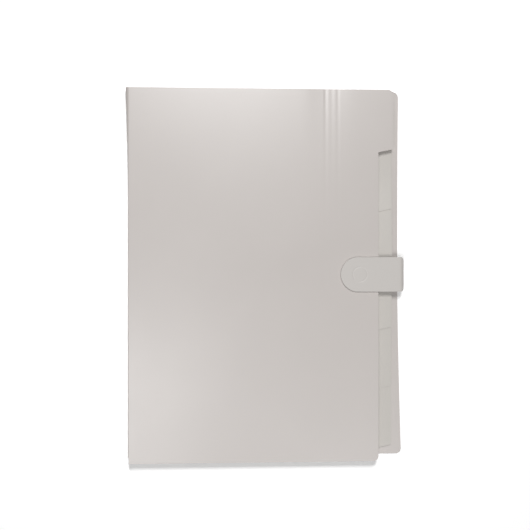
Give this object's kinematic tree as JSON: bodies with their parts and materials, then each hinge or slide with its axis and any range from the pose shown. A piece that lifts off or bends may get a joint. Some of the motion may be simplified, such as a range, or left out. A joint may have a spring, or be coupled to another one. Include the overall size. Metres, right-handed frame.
{
  "type": "expanding file",
  "caption": "Expanding file for A4 papers: a folded cover, stepped tabbed dividers, end gussets, a scored flap and a snap strap.",
  "frame": {"origin": "under the middle of the closed file's bounding box, on the surface that the back cover lies on", "axes": "+X from the spine to the mouth and strap, +Y towards the end with the first tab, +Z from the back cover up to the front cover"},
  "size_m": [0.2442, 0.33, 0.0158],
  "materials": {
    "cover_sheet": "pale warm grey polypropylene sheet with a fine satin grain",
    "divider_sheet": "thinner sheet of the same pale grey polypropylene",
    "film": "soft folded polypropylene film, slightly glossy",
    "strap": "moulded polypropylene with a fine satin surface",
    "snap": "moulded plastic, smooth"
  },
  "bodies": {
    "back": {"back_cover": "cover_sheet", "strap_base": "strap", "gusset_top_1": "film", "gusset_bottom_1": "film"},
    "spine": {"cover_spine": "cover_sheet"},
    "divider_1": {"divider_1": "divider_sheet", "pocket_floor_1": "film", "gusset_top_2": "film", "gusset_bottom_2": "film"},
    "divider_2": {"divider_2": "divider_sheet", "pocket_floor_2": "film", "gusset_top_3": "film", "gusset_bottom_3": "film"},
    "divider_3": {"divider_3": "divider_sheet", "pocket_floor_3": "film", "gusset_top_4": "film", "gusset_bottom_4": "film"},
    "divider_4": {"divider_4": "divider_sheet", "pocket_floor_4": "film", "gusset_top_5": "film", "gusset_bottom_5": "film"},
    "divider_5": {"divider_5": "divider_sheet", "pocket_floor_5": "film", "pocket_floor_6": "film", "gusset_top_6": "film", "gusset_bottom_6": "film"},
    "front": {"front_cover": "cover_sheet"},
    "flap": {"front_flap": "cover_sheet", "snap_socket": "snap", "snap_rivet": "snap"},
    "strap_bridge": {"strap_bridge": "strap"},
    "strap_tongue": {"strap_tongue": "strap"}
  },
  "joints": [
    {"name": "pocket_1", "type": "hinge", "parent": "back", "child": "divider_1", "pos_m": [-0.121, 0, 0.0008], "axis": [0, -1, 0], "range_deg": [0, 6], "deforming": ["gusset_top_1", "gusset_bottom_1"]},
    {"name": "pocket_2", "type": "hinge", "parent": "divider_1", "child": "divider_2", "pos_m": [-0.121, 0, 0.0025], "axis": [0, -1, 0], "range_deg": [0, 6], "deforming": ["gusset_top_2", "gusset_bottom_2"]},
    {"name": "pocket_3", "type": "hinge", "parent": "divider_2", "child": "divider_3", "pos_m": [-0.121, 0, 0.0038], "axis": [0, -1, 0], "range_deg": [0, 6], "deforming": ["gusset_top_3", "gusset_bottom_3"]},
    {"name": "pocket_4", "type": "hinge", "parent": "divider_3", "child": "divider_4", "pos_m": [-0.121, 0, 0.0051], "axis": [0, -1, 0], "range_deg": [0, 6], "deforming": ["gusset_top_4", "gusset_bottom_4"]},
    {"name": "pocket_5", "type": "hinge", "parent": "divider_4", "child": "divider_5", "pos_m": [-0.121, 0, 0.0064], "axis": [0, -1, 0], "range_deg": [0, 6], "deforming": ["gusset_top_5", "gusset_bottom_5"]},
    {"name": "pocket_6", "type": "hinge", "parent": "divider_5", "child": "front", "pos_m": [-0.121, 0, 0.0129], "axis": [0, -1, 0], "range_deg": [0, 6], "deforming": ["gusset_top_6", "gusset_bottom_6"]},
    {"name": "spine_fold", "type": "hinge", "parent": "back", "child": "spine", "pos_m": [-0.1221, 0, 0.0008], "axis": [0, -1, 0], "range_deg": [0, 24]},
    {"name": "flap_fold", "type": "hinge", "parent": "front", "child": "flap", "pos_m": [0.0575, 0, 0.0137], "axis": [0, -1, 0], "range_deg": [0, 150]},
    {"name": "strap_base_fold", "type": "hinge", "parent": "back", "child": "strap_bridge", "pos_m": [0.12108, 0, 0.00183], "axis": [0, 1, 0], "range_deg": [0, 90]},
    {"name": "strap_tongue_fold", "type": "hinge", "parent": "strap_bridge", "child": "strap_tongue", "pos_m": [0.12108, 0, 0.01477], "axis": [0, 1, 0], "range_deg": [0, 90], "deforming": ["strap_tongue"]}
  ],
  "couplings": [
    {"joint": "pocket_2", "follows": "pocket_1", "ratio": 1},
    {"joint": "pocket_3", "follows": "pocket_1", "ratio": 1},
    {"joint": "pocket_4", "follows": "pocket_1", "ratio": 1},
    {"joint": "pocket_5", "follows": "pocket_1", "ratio": 1},
    {"joint": "pocket_6", "follows": "pocket_1", "ratio": 1},
    {"joint": "spine_fold", "follows": "pocket_1", "ratio": 4},
    {"joint": "strap_base_fold", "follows": "strap_tongue_fold", "ratio": 1}
  ]
}
